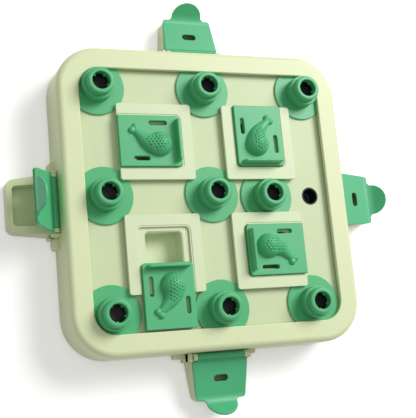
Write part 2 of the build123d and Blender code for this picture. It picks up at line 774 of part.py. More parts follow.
# ---- lids: shallow caps with a hinge barrel and an upturned tab ----
for name, angle in sides.items():
    opening = open_lid_angle if name == "left" else 0.0
    top = lid_plane(angle, opening)
    profile = standing(top)
    bend = radians(curl_angle)
    curl_end = (curl_start + curl_radius * sin(bend), curl_radius * (1 - cos(bend)))
    tip = (curl_end[0] + tab_length * cos(bend), curl_end[1] + tab_length * sin(bend))
    under = (lid_thickness * sin(bend), -lid_thickness * cos(bend))
    tab_round = tab_half * cos(bend)
    with BuildPart() as lid:
        # sheet: flat, curled up along a line near the outer end, then straight
        with BuildSketch(profile):
            with BuildLine():
                Line((lid_root, 0), (curl_start, 0))
                CenterArc((curl_start, curl_radius), curl_radius, 270, curl_angle)
                Line(curl_end, tip)
                Line(tip, (tip[0] + under[0], tip[1] + under[1]))
                Line(
                    (tip[0] + under[0], tip[1] + under[1]),
                    (curl_end[0] + under[0], curl_end[1] + under[1]),
                )
                CenterArc((curl_start, curl_radius), curl_radius + lid_thickness, 270, curl_angle)
                Line((curl_start, -lid_thickness), (lid_root, -lid_thickness))
                Line((lid_root, -lid_thickness), (lid_root, 0))
            make_face()
        extrude(amount=lid_root_half, both=True)
        # outline seen from above: square shoulders and a round-ended tab
        tip_reach = tip[0] + under[0]
        with BuildSketch(top.offset(-lid_thickness)):
            with BuildLine():
                Polyline(
                    (lid_root, 0),
                    (lid_root, lid_root_half),
                    (lid_end, lid_end_half),
                    (lid_end, tab_root_half),
                    (tip_reach - tab_round, tab_half),
                )
                EllipticalCenterArc(
                    (tip_reach - tab_round, 0), tab_round, tab_half, start_angle=0, arc_size=90
                )
                mirror(about=Plane.XZ)
            outline = make_face()
            fillet(
                outline.vertices().filter_by_position(Axis.X, lid_end - tiny, lid_end + tiny),
                shoulder_radius,
            )
        extrude(amount=lid_end, mode=Mode.INTERSECT)
        # skirt that sits on the tray's rim
        with BuildSketch(top.offset(-lid_thickness)):
            with BuildLine():
                Polyline(
                    (skirt_start, lid_root_half),
                    (skirt_end, lid_end_half),
                    (skirt_end, -lid_end_half),
                    (skirt_start, -lid_root_half),
                    close=True,
                )
            skirt = make_face()
            fillet(
                skirt.vertices().filter_by_position(Axis.X, skirt_end - tiny, skirt_end + tiny),
                shoulder_radius,
            )
            offset(amount=-skirt_wall, mode=Mode.SUBTRACT)
        extrude(amount=-skirt_drop)
        # hinge barrel, its stubs and the neck to the sheet
        with BuildSketch(top):
            Rectangle(2 * lid_root, 2 * barrel_half, align=(Align.CENTER, Align.CENTER))
            Rectangle(
                2 * lid_root, 2 * barrel_half, align=(Align.MAX, Align.CENTER), mode=Mode.SUBTRACT
            )
        extrude(amount=-lid_thickness)
        with BuildSketch(profile):
            Circle(barrel_radius)
        extrude(amount=barrel_half, both=True)
        with BuildSketch(profile):
            Circle(pin_radius)
        extrude(amount=ear_start + ear_thickness - fit_gap, both=True)
        # scent slot and the groove beside the barrel
        with BuildSketch(top.offset(-lid_thickness)):
            with Locations((scent_slot_place, 0)):
                SlotOverall(scent_slot_length, scent_slot_width, rotation=90)
        extrude(amount=lid_thickness, mode=Mode.SUBTRACT)
        with BuildSketch(top.offset(-groove_depth)):
            with Locations((lid_root + groove_lead, 0)):
                Rectangle(groove_width, 2 * barrel_half)
        extrude(amount=groove_depth, mode=Mode.SUBTRACT)
    save(lid.part, f"lid_{name}")
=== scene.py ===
"""Look of a sliding-peg puzzle feeder board for dogs.

The moulded shells, pegs, sliding panels, treat trays and hinged lids are
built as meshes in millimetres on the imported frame, and each is dressed in
the finish that the real piece is moulded in.
"""

from __future__ import annotations

import logging
from dataclasses import dataclass, field
from enum import Enum
from math import asin, atan2, ceil, cos, degrees, hypot, pi, radians, sin, tan
from typing import Callable, Iterable, Optional, Sequence

import bmesh
import bpy
from mathutils import Matrix, Vector

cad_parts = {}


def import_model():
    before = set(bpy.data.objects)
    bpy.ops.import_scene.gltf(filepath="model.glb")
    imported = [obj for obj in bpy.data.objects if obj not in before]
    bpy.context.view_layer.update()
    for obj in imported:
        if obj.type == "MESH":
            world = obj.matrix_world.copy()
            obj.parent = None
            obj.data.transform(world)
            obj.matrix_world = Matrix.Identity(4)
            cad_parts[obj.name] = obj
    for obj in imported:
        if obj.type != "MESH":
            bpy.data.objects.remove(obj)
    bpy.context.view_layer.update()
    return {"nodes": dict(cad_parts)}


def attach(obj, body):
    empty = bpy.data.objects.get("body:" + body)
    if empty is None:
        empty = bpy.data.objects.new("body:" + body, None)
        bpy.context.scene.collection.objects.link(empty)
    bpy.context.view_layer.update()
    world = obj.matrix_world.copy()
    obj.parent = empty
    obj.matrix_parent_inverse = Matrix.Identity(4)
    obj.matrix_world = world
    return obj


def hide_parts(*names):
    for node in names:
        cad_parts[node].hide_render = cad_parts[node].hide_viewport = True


log = logging.getLogger("feeder")

MM = 0.001
# points of one skin that lie closer than this are the same point
MERGE_MM = 0.0005
# a point this close to a cutting plane lies on it
CUT_MM = 1e-5
# an edge that turns further than this stays sharp
CREASE_DEGREES = 38.0
# a round end keeps this much flat in its middle, so that its two arcs don't meet in one point
END_FLAT = 0.01
# a point nearer to a turning axis than this is a pole
POLE = 1e-6
BOARD = "board"

Point = tuple[float, float]
# x, y and radius of a rounded corner, a ball or a section
Corner = tuple[float, float, float]
Triple = tuple[float, float, float]
Shift = Callable[[Vector], Vector]


# ---------------------------------------------------------------- outlines


def rounded(corners: Sequence[Corner], closed: bool = True, turn: float = 9.0) -> list[Point]:
    """Draws an outline whose corners are rounded to their own radii.

    Args:
        corners: x, y and radius of each corner, in order.
        closed: whether the last corner joins the first.
        turn: degrees that one step of an arc turns.

    Returns:
        The outline's points.
    """
    points: list[Point] = []
    count = len(corners)
    for index, (x, y, radius) in enumerate(corners):
        end = not closed and index in (0, count - 1)
        if radius <= 0 or end:
            points.append((x, y))
            continue
        here = Vector((x, y))
        back = (Vector(corners[index - 1][:2]) - here).normalized()
        ahead = (Vector(corners[(index + 1) % count][:2]) - here).normalized()
        half = back.angle(ahead) / 2
        centre = here + (back + ahead).normalized() * (radius / sin(half))
        first = here + back * (radius / tan(half)) - centre
        last = here + ahead * (radius / tan(half)) - centre
        start = atan2(first.y, first.x)
        sweep = (atan2(last.y, last.x) - start + pi) % (2 * pi) - pi
        steps = max(2, ceil(abs(degrees(sweep)) / turn))
        for step in range(steps + 1):
            angle = start + sweep * step / steps
            points.append((centre.x + radius * cos(angle), centre.y + radius * sin(angle)))
    return points


def box_outline(low: Point, high: Point, radius: float) -> list[Point]:
    """Draws a rectangle with rounded corners.

    Args:
        low: its corner with the lowest x and y.
        high: the opposite corner.
        radius: radius of the corners.

    Returns:
        The outline's points.
    """
    corners = [(low[0], low[1]), (high[0], low[1]), (high[0], high[1]), (low[0], high[1])]
    return rounded([(x, y, radius) for x, y in corners])


def slot_outline(centre: Point, length: float, width: float, across: bool = False) -> list[Point]:
    """Draws a slot with round ends.

    Args:
        centre: middle of the slot.
        length: length over the round ends.
        width: width across them.
        across: whether the slot runs along y and not along x.

    Returns:
        The outline's points.
    """
    half_length, half_width = length / 2, width / 2
    if across:
        half_length, half_width = half_width, half_length
    low = (centre[0] - half_length, centre[1] - half_width)
    high = (centre[0] + half_length, centre[1] + half_width)
    return box_outline(low, high, width / 2 - END_FLAT)


def circle_outline(centre: Point, radius: float, count: int = 32) -> list[Point]:
    """Circle of the given number of points."""
    steps = [2 * pi * index / count for index in range(count)]
    return [(centre[0] + radius * cos(a), centre[1] + radius * sin(a)) for a in steps]


def mirrored(side: Sequence[Corner]) -> list[Corner]:
    """The corners of one side on the other side of the x axis, in reverse order."""
    return [(x, -y, radius) for x, y, radius in reversed(side)]


def square_ring(half: float, radius: float, height: float, steps: int = 16) -> list[Vector]:
    """Draws a rounded square loop that has the same number of points at any size.

    Args:
        half: half of the square's width.
        radius: radius of its corners.
        height: height of the loop.
        steps: steps of each corner's arc.

    Returns:
        The loop's points.
    """
    corners = [(half, half), (-half, half), (-half, -half), (half, -half)]
    ring: list[Vector] = []
    for quarter, (x, y) in enumerate(corners):
        sign = (1 if x > 0 else -1, 1 if y > 0 else -1)
        for step in range(steps + 1):
            angle = radians(90 * quarter + 90 * step / steps)
            px = x - sign[0] * radius + radius * cos(angle)
            py = y - sign[1] * radius + radius * sin(angle)
            ring.append(Vector((px, py, height)))
    return ring


# ---------------------------------------------------------------- finishes


def linear(code: str) -> tuple[float, float, float, float]:
    """Turns an sRGB hex colour into the linear values that a shader takes.

    Args:
        code: the colour, as #rrggbb.

    Returns:
        Red, green, blue and an alpha of one.
    """
    values = [int(code[index : index + 2], 16) / 255 for index in (1, 3, 5)]
    # the sRGB curve: straight near black, a power above that
    out = [v / 12.92 if v <= 0.04045 else ((v + 0.055) / 1.055) ** 2.4 for v in values]
    return (out[0], out[1], out[2], 1.0)


def add_node(
    tree: bpy.types.NodeTree,
    kind: str,
    settings: Optional[dict[str, object]] = None,
    links: Optional[dict[object, bpy.types.NodeSocket]] = None,
    **attributes: object,
) -> bpy.types.Node:
    """Adds one shader node with its settings and incoming links.

    Args:
        tree: node tree that the node goes into.
        kind: Blender's name for the node type.
        settings: values by input name or index.
        links: sockets that feed an input, by input name or index.
        attributes: settings of the node itself, such as its operation.

    Returns:
        The new node.
    """
    node = tree.nodes.new(kind)
    for name, value in attributes.items():
        setattr(node, name, value)
    for key, value in (settings or {}).items():
        node.inputs[key].default_value = value
    for key, socket in (links or {}).items():
        tree.links.new(socket, node.inputs[key])
    return node


def empty_tree(owner: bpy.types.Material | bpy.types.World) -> bpy.types.NodeTree:
    """Clears the shader nodes of a material or a world.

    Args:
        owner: the material or world.

    Returns:
        Its node tree, which is now empty.
    """
    owner.use_nodes = True
    owner.node_tree.nodes.clear()
    return owner.node_tree


@dataclass(frozen=True)
class Moulded:
    """Injection-moulded plastic with a fine mould texture.

    Attributes:
        name: the material's name.
        colour: body colour.
        deep: colour of the slightly darker drifts that pigment leaves.
        roughness: polish of the mould.
        ior: index of refraction of the resin.
        texture_mm: spacing of the mould's spark texture.
        texture_depth_mm: depth of that texture.
        drift_mm: size of the colour drifts.
        spread: how far the roughness wanders either way.
    """

    name: str
    colour: str
    deep: str
    roughness: float
    ior: float = 1.5
    texture_mm: float = 0.5
    texture_depth_mm: float = 0.006
    drift_mm: float = 45.0
    spread: float = 0.05

    def make(self) -> bpy.types.Material:
        """Builds the material's nodes.

        Returns:
            The material.
        """
        material = bpy.data.materials.new(self.name)
        tree = empty_tree(material)
        place = add_node(tree, "ShaderNodeTexCoord")
        # one noise cell per drift: pigment settles a little unevenly in the mould
        drift = add_node(
            tree,
            "ShaderNodeTexNoise",
            {"Scale": 1 / (self.drift_mm * MM), "Detail": 2.0, "Roughness": 0.4},
            {"Vector": place.outputs["Object"]},
        )
        tint = add_node(
            tree,
            "ShaderNodeMix",
            {6: linear(self.colour), 7: linear(self.deep)},
            {0: drift.outputs["Fac"]},
            data_type="RGBA",
        )
        # spark-eroded mould texture, felt as a satin more than seen
        grain = add_node(
            tree,
            "ShaderNodeTexNoise",
            {"Scale": 1 / (self.texture_mm * MM), "Detail": 3.0, "Roughness": 0.6},
            {"Vector": place.outputs["Object"]},
        )
        bump = add_node(
            tree,
            "ShaderNodeBump",
            {"Strength": 1.0, "Distance": self.texture_depth_mm * MM},
            {"Height": grain.outputs["Fac"]},
        )
        rough = add_node(
            tree,
            "ShaderNodeMapRange",
            {"To Min": self.roughness - self.spread, "To Max": self.roughness + self.spread},
            {"Value": grain.outputs["Fac"]},
        )
        shader = add_node(
            tree,
            "ShaderNodeBsdfPrincipled",
            {"IOR": self.ior},
            {
                "Base Color": tint.outputs[2],
                "Roughness": rough.outputs["Result"],
                "Normal": bump.outputs["Normal"],
            },
        )
        add_node(tree, "ShaderNodeOutputMaterial", None, {"Surface": shader.outputs["BSDF"]})
        return material


@dataclass(frozen=True)
class PlatedSteel:
    """Bright zinc-plated steel, drawn and headed.

    Attributes:
        name: the material's name.
        colour: colour of the plating.
        roughness: polish of the plating.
        streak_mm: spacing of the drawing marks.
        spread: how far the roughness wanders either way.
    """

    name: str
    colour: str
    roughness: float
    streak_mm: float
    spread: float = 0.08

    def make(self) -> bpy.types.Material:
        """Builds the material's nodes.

        Returns:
            The material.
        """
        material = bpy.data.materials.new(self.name)
        tree = empty_tree(material)
        place = add_node(tree, "ShaderNodeTexCoord")
        streak = add_node(
            tree,
            "ShaderNodeTexNoise",
            {"Scale": 1 / (self.streak_mm * MM), "Detail": 2.0},
            {"Vector": place.outputs["Object"]},
        )
        rough = add_node(
            tree,
            "ShaderNodeMapRange",
            {"To Min": self.roughness - self.spread, "To Max": self.roughness + self.spread},
            {"Value": streak.outputs["Fac"]},
        )
        shader = add_node(
            tree,
            "ShaderNodeBsdfPrincipled",
            {"Base Color": linear(self.colour), "Metallic": 1.0},
            {"Roughness": rough.outputs["Result"]},
        )
        add_node(tree, "ShaderNodeOutputMaterial", None, {"Surface": shader.outputs["BSDF"]})
        return material


class Finish(Enum):
    """The finishes of the board, by what the real pieces are made of."""

    # ABS in a pale lime: reads as smooth and creamy, with a broad soft shine
    LIME_ABS = Moulded("lime_abs_moulded", "#e4ebbd", "#dfe7b8", 0.42)
    # the same ABS on the track, with painted shade: darker and a shade greener, as the track lies
    # low inside the rim
    LIME_ABS_TRACK_SHADED = Moulded("lime_abs_track_painted_shade", "#d3dfb3", "#cedbad", 0.45)
    # the guide frames' batch of the same ABS
    LIME_ABS_FRAME = Moulded("lime_abs_frame", "#dfe9c2", "#dae6bc", 0.42)
    # the trays' batch, which is a little yellower
    LIME_ABS_TRAY = Moulded("lime_abs_tray", "#dfe7ba", "#d9e2b3", 0.42)
    # jade ABS: a clean mid green with a satin shine on every rounded edge
    JADE_ABS = Moulded("jade_abs_moulded", "#56bd80", "#50b67a", 0.38)
    # jade ABS of the pegs, polished by sliding
    JADE_ABS_PEG = Moulded("jade_abs_peg", "#53ba7c", "#4db375", 0.36)
    # jade ABS of the lids, a touch bluer
    JADE_ABS_LID = Moulded("jade_abs_lid", "#54bc84", "#4eb57e", 0.38)
    # black polypropylene of the cups: a dark, dull hole to look into
    BLACK_PP = Moulded("black_pp_moulded", "#1b1c1b", "#151615", 0.55, ior=1.49)
    # rubber of the feet: black with a grey, dusty bloom
    FOOT_RUBBER = Moulded(
        "foot_rubber", "#2c2e2c", "#242624", 0.8, ior=1.52, texture_mm=0.8, texture_depth_mm=0.02
    )
    # zinc-plated screws, bright against the plastic
    SCREW_STEEL = PlatedSteel("zinc_plated_steel", "#b9bcbf", 0.32, 0.4)


class Palette:
    """Makes each finish once and hands out its material."""

    def __init__(self) -> None:
        """Starts with no material made."""
        self.made: dict[Finish, bpy.types.Material] = {}

    def get(self, finish: Finish) -> bpy.types.Material:
        """Gives the material of a finish, made when it is first asked for.

        Args:
            finish: the finish.

        Returns:
            Its material.
        """
        if finish not in self.made:
            self.made[finish] = finish.value.make()
        return self.made[finish]


# ---------------------------------------------------------------- moulding tools


def add_object(name: str, data: bpy.types.ID) -> bpy.types.Object:
    """Puts a mesh, curve, lamp or camera into the scene.

    Args:
        name: the object's name.
        data: what the object shows.

    Returns:
        The new object.
    """
    piece = bpy.data.objects.new(name, data)
    bpy.context.scene.collection.objects.link(piece)
    return piece


def take_mesh(holder: bpy.types.Object) -> bpy.types.Mesh:
    """Takes the mesh that an object's curve or modifiers make, and removes the object.

    Args:
        holder: the object.

    Returns:
        The mesh.
    """
    bpy.context.view_layer.update()
    graph = bpy.context.evaluated_depsgraph_get()
    mesh = bpy.data.meshes.new_from_object(holder.evaluated_get(graph))
    bpy.data.objects.remove(holder)
    return mesh


def geometry(work: bmesh.types.BMesh) -> list[object]:
    """All points, edges and faces of a mesh."""
    return [*work.verts, *work.edges, *work.faces]


class Moulding:
    """A mesh in millimetres that solids are added to."""

    def __init__(self) -> None:
        """Starts with an empty mesh."""
        self.mesh = bmesh.new()

    def add_mesh(self, mesh: bpy.types.Mesh, place: Matrix) -> None:
        """Adds what a mesh holds, and removes the mesh itself.

        Args:
            mesh: the mesh.
            place: where it goes.
        """
        mesh.transform(place)
        self.mesh.from_mesh(mesh)
        bpy.data.meshes.remove(mesh)

    def plate(
        self,
        outlines: Sequence[Sequence[Point]],
        low: float,
        high: float,
        rounding: float,
        place: Matrix = Matrix.Identity(4),
        shift: Optional[Shift] = None,
        cuts: Iterable[float] = (),
    ) -> None:
        """Adds a plate with rounded edges.

        Args:
            outlines: the outer outline, then those of the holes.
            low: height of the underside.
            high: height of the top.
            rounding: radius of the edges.
            place: where the plate goes.
            shift: moves each point before it is placed.
            cuts: places along x where the plate gets a row of points.
        """
        curve = bpy.data.curves.new("plate", "CURVE")
        curve.dimensions = "2D"
        curve.fill_mode = "BOTH"
        for outline in outlines:
            spline = curve.splines.new("POLY")
            spline.points.add(len(outline) - 1)
            spline.use_cyclic_u = True
            for point, (x, y) in zip(spline.points, outline):
                point.co = (x, y, 0.0, 1.0)
        curve.extrude = (high - low) / 2 - rounding
        curve.bevel_depth = rounding
        curve.bevel_resolution = 2
        curve.offset = -rounding
        mesh = take_mesh(add_object("plate", curve))
        bpy.data.curves.remove(curve)
        work = bmesh.new()
        work.from_mesh(mesh)
        bmesh.ops.remove_doubles(work, verts=work.verts, dist=MERGE_MM)
        bmesh.ops.translate(work, verts=work.verts, vec=(0, 0, (low + high) / 2))
        for cut in cuts:
            bmesh.ops.bisect_plane(
                work, geom=geometry(work), dist=CUT_MM, plane_co=(cut, 0, 0), plane_no=(1, 0, 0)
            )
        if shift is not None:
            for vertex in work.verts:
                vertex.co = shift(vertex.co.copy())
        work.to_mesh(mesh)
        work.free()
        self.add_mesh(mesh, place)

    def loft(
        self,
        rings: Sequence[Sequence[Vector]],
        wrap: bool = False,
        cap_start: bool = False,
        cap_end: bool = False,
        place: Matrix = Matrix.Identity(4),
    ) -> None:
        """Adds a skin through rings of points.

        Args:
            rings: loops with the same number of points, or a single point for a pole.
            wrap: whether the last ring joins the first.
            cap_start: whether the first ring is filled.
            cap_end: whether the last ring is filled.
            place: where the skin goes.
        """
        work = bmesh.new()
        loops = [[work.verts.new(point) for point in ring] for ring in rings]
        pairs = list(zip(loops, loops[1:]))
        if wrap:
            pairs.append((loops[-1], loops[0]))
        for first, second in pairs:
            count = max(len(first), len(second))
            for index in range(count):
                following = (index + 1) % count
                corners = [first[index % len(first)], first[following % len(first)]]
                corners += [second[following % len(second)], second[index % len(second)]]
                face = list(dict.fromkeys(corners))
                if len(face) > 2:
                    work.faces.new(face)
        for wanted, loop in ((cap_start, loops[0]), (cap_end, loops[-1])):
            if wanted:
                work.faces.new(loop)
        bmesh.ops.remove_doubles(work, verts=work.verts, dist=MERGE_MM)
        bmesh.ops.recalc_face_normals(work, faces=work.faces)
        mesh = bpy.data.meshes.new("loft")
        work.to_mesh(mesh)
        work.free()
        self.add_mesh(mesh, place)

    def lathe(
        self,
        profile: Sequence[Point],
        steps: int = 96,
        closed: bool = True,
        place: Matrix = Matrix.Identity(4),
    ) -> None:
        """Adds a turned solid.

        Args:
            profile: radius and height of each point of the half section.
            steps: facets round the axis.
            closed: whether the profile is a closed loop clear of the axis.
            place: where the solid goes.
        """
        rings: list[list[Vector]] = []
        for radius, height in profile:
            if radius < POLE:
                rings.append([Vector((0, 0, height))])
                continue
            turns = [2 * pi * index / steps for index in range(steps)]
            rings.append([Vector((radius * cos(a), radius * sin(a), height)) for a in turns])
        self.loft(rings, wrap=closed, place=place)

    def finish(
        self, name: str, material: bpy.types.Material, place: Matrix = Matrix.Identity(4)
    ) -> bpy.types.Object:
        """Turns the mesh into an object in metres.

        Args:
            name: the object's name.
            material: its material.
            place: where it goes, in millimetres.

        Returns:
            The new object.
        """
        mesh = bpy.data.meshes.new(name)
        self.mesh.to_mesh(mesh)
        self.mesh.free()
        mesh.transform(Matrix.Scale(MM, 4) @ place)
        mesh.materials.append(material)
        mesh.shade_smooth()
        mesh.set_sharp_from_angle(angle=radians(CREASE_DEGREES))
        piece = add_object(name, mesh)
        flats = piece.modifiers.new("flat_faces", "WEIGHTED_NORMAL")
        flats.keep_sharp = True
        return piece


def heading(angle: float, x: float = 0.0, y: float = 0.0, z: float = 0.0) -> Matrix:
    """Place whose x axis is turned by an angle in degrees about +Z."""
    return Matrix.Translation((x, y, z)) @ Matrix.Rotation(radians(angle), 4, "Z")


def install(piece: bpy.types.Object, body: str, slot: str, *nodes: str) -> None:
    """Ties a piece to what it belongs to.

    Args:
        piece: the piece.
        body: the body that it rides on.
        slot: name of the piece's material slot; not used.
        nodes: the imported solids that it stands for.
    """
    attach(piece, body)
    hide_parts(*nodes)
    log.info("%s rides on %s", piece.name, body)


# ---------------------------------------------------------------- the board


@dataclass
class Board:
    """Heights and places that the pieces of the board share, in millimetres."""

    deck_top: float = 38.5
    foot_height: float = 1.5
    half: float = 136.0
    slide_gap: float = 0.2
    pitch: float = 100.0
    sides: dict[str, float] = field(
        default_factory=lambda: {"right": 0.0, "back": 90.0, "left": 180.0, "front": 270.0}
    )

    @property
    def frames(self) -> dict[str, Triple]:
        """Lays out the guide frames.

        Returns:
            Centre of each frame, and the heading of its open side.
        """
        place = self.pitch / 2
        return {
            "back_left": (-place, place, 180.0),
            "back_right": (place, place, 90.0),
            "front_right": (place, -place, 0.0),
            "front_left": (-place, -place, 270.0),
        }

    @property
    def pegs(self) -> dict[str, Point]:
        """Sets out the pegs: five at home, and four where play has left them.

        Returns:
            Where the axis of each peg stands.
        """
        return {
            "back_left": (-self.pitch, self.pitch),
            "back_middle": (0.0, self.pitch),
            "back_right": (self.pitch, self.pitch),
            "middle_left": (-99.1, 2.4),
            "centre": (0.0, 2.4),
            "middle_right": (54.0, 0.0),
            "front_left": (-self.pitch, -self.pitch),
            "front_middle": (0.0, -self.pitch),
            "front_right": (89.7, -self.pitch),
        }


@dataclass
class Assembly:
    """A sub-assembly, with the board that it belongs to and the board's materials."""

    board: Board
    palette: Palette


@dataclass
class Housing(Assembly):
    """Top shell: rounded wall, flat rim, lip round the recess and the tray docks."""

    corner: float = 38.0
    least_corner: float = 1.0
    wall: float = 2.2
    rim_rise: float = 6.3
    rim_wall: float = 2.5
    edge: float = 5.5
    foot_edge: float = 0.5
    inner_foot_edge: float = 0.4
    recess_inset: float = 19.4
    lip: float = 2.4
    lip_edge: float = 0.9
    lip_foot_edge: float = 0.4
    lip_back_edge: float = 0.3
    under_clear: float = 2.4
    dock_inner: float = 29.6
    dock_outer: float = 38.5
    dock_root: float = 1.0
    dock_reach: float = 4.2
    dock_height: float = 14.0
    dock_corners: Point = (0.5, 2.5)
    dock_edge: float = 0.4

    def profile(self) -> list[Point]:
        """Draws the section of the shell.

        Returns:
            Inset from the outer face and height of each point.
        """
        top = self.board.deck_top + self.rim_rise
        lip_low = self.board.deck_top + self.under_clear
        lip_back = self.recess_inset - self.lip
        bottom = self.board.foot_height
        return rounded(
            [
                (0, bottom, self.foot_edge),
                (0, top, self.edge),
                (self.recess_inset, top, self.lip_edge),
                (self.recess_inset, lip_low, self.lip_foot_edge),
                (lip_back, lip_low, self.lip_back_edge),
                (lip_back, top - self.rim_wall, self.lip_back_edge),
                (self.wall, top - self.rim_wall, self.edge - self.wall),
                (self.wall, bottom, self.inner_foot_edge),
            ]
        )

    def build(self) -> None:
        """Builds the shell and its docks."""
        shape = Moulding()
        half = self.board.half
        rings = [
            square_ring(half - inset, max(self.corner - inset, self.least_corner), height)
            for inset, height in self.profile()
        ]
        shape.loft(rings, wrap=True)
        for angle in self.board.sides.values():
            for sign in (-1, 1):
                self.add_dock(shape, angle, sign)
        piece = shape.finish("housing_shell", self.palette.get(Finish.LIME_ABS))
        install(piece, BOARD, "shell", "housing")

    def add_dock(self, shape: Moulding, angle: float, sign: int) -> None:
        """Adds a dock, whose corner away from the middle of the side is the rounder one.

        Args:
            shape: the mesh that it goes into.
            angle: heading of the side.
            sign: which side of the middle it stands on.
        """
        low, high = sorted((sign * self.dock_inner, sign * self.dock_outer))
        low_corner, high_corner = self.dock_corners[::sign]
        root, reach = self.board.half - self.dock_root, self.board.half + self.dock_reach
        outline = rounded(
            [(root, low, 0), (reach, low, low_corner), (reach, high, high_corner), (root, high, 0)]
        )
        base = self.board.foot_height
        shape.plate([outline], base, base + self.dock_height, self.dock_edge, heading(angle))


@dataclass
class GuideFrame(Assembly):
    """Raised U-shaped plate over the track, with a stepped opening and a treat well."""

    size: float = 69.2
    top: float = 5.9
    under: float = 2.4
    ledge: float = 0.8
    step: float = 0.5
    step_width: float = 1.3
    arm: float = 10.9
    arm_corner: float = 0.4
    end_wall: float = 11.2
    corner: float = 2.5
    inner_corner: float = 4.0
    edge: float = 0.15
    step_edge: float = 0.35
    step_overlap: float = 0.1
    lip: float = 1.4
    runner: float = 1.6
    runner_corner: float = 0.5
    runner_edge: float = 0.02
    runner_overlap: float = 0.05
    well: Point = (38.0, 33.0)
    well_corner: float = 3.2
    well_depth: float = 14.0
    well_wall: float = 1.3
    well_edge: float = 0.6
    floor_round: float = 1.2
    floor_bend: float = 0.35
    pedestal: float = 0.9
    pedestal_overlap: float = 0.1
    mouth: float = 1.2
    mouth_drop: float = 0.1
    mouth_flange: float = 0.2
    mouth_seam: float = 0.02

    @property
    def ledge_top(self) -> float:
        """Height of the ledge that a panel runs on."""
        return self.under + self.ledge

    def opening(self, grow: float, corner: float) -> list[Corner]:
        """Draws the U.

        Args:
            grow: how much wider the opening is than the one at the top.
            corner: radius of the opening's inner corners.

        Returns:
            The corners of the U and their radii.
        """
        half = self.size / 2
        side = half - self.arm + grow
        back = self.end_wall - half - grow
        return [
            (half, -half, self.corner),
            (half, -side, self.arm_corner),
            (back, -side, corner),
            (back, side, corner),
            (half, side, self.arm_corner),
            (half, half, self.corner),
            (-half, half, self.corner),
            (-half, -half, self.corner),
        ]

    def well_ring(self, grow: float, height: float) -> list[Vector]:
        """Draws the well's plan.

        Args:
            grow: how far it is grown outwards.
            height: height of the loop.

        Returns:
            The loop's points.
        """
        x, y = self.well[0] / 2 + grow, self.well[1] / 2 + grow
        outline = box_outline((-x, -y), (x, y), self.well_corner + grow)
        return [Vector((px, py, height)) for px, py in outline]

    def build(self) -> None:
        """Builds the four frames."""
        finish = self.palette.get(Finish.LIME_ABS_FRAME)
        for name, (x, y, angle) in self.board.frames.items():
            shape = Moulding()
            self.add_plates(shape)
            self.add_well(shape)
            place = heading(angle, x, y, self.board.deck_top)
            piece = shape.finish(f"frame_{name}", finish, place)
            install(piece, BOARD, "guide_frame", f"guide_frame_{name}")

    def add_plates(self, shape: Moulding) -> None:
        """Adds the ledge and, on it, the runners' groove, the lip and the raised step.

        Args:
            shape: the mesh that they go into.
        """
        half = self.size / 2
        lip_low, step_low = self.top - self.lip, self.top - self.step
        slab = box_outline((-half, -half), (half, half), self.corner)
        well_hole = [(v.x, v.y) for v in self.well_ring(self.mouth, 0)]
        shape.plate([slab, well_hole], self.under, self.ledge_top, self.edge)
        groove = rounded(self.opening(self.runner, self.runner_corner))
        low, high = self.ledge_top - self.runner_overlap, lip_low + self.runner_overlap
        shape.plate([groove], low, high, self.runner_edge)
        lip = rounded(self.opening(0.0, self.inner_corner))
        shape.plate([lip], lip_low, step_low, self.edge)
        border = rounded(self.opening(self.step_width, self.inner_corner + self.step_width))
        shape.plate([border], step_low - self.step_overlap, self.top, self.step_edge)

    def add_well(self, shape: Moulding) -> None:
        """Adds the well: a bevelled mouth, straight walls and a floor, as two skins.

        Args:
            shape: the mesh that it goes into.
        """
        floor, top = -self.well_depth, self.ledge_top
        wall, rest = self.well_wall, self.well_wall + self.pedestal
        inside = [
            (-self.floor_round, floor),
            (-self.floor_bend, floor + self.floor_bend),
            (0.0, floor + self.floor_round),
            (0.0, top - self.mouth),
            (self.mouth, top - self.mouth_drop),
            (self.mouth + self.mouth_flange, top - self.mouth_seam),
        ]
        outside = [
            (wall - self.well_edge, floor - wall),
            (wall, floor - wall + self.well_edge),
            (wall, 0.0),
            (rest, 0.0),
            (rest, self.under + self.pedestal_overlap),
        ]
        for section in (inside, outside):
            shape.loft([self.well_ring(grow, height) for grow, height in section], cap_start=True)


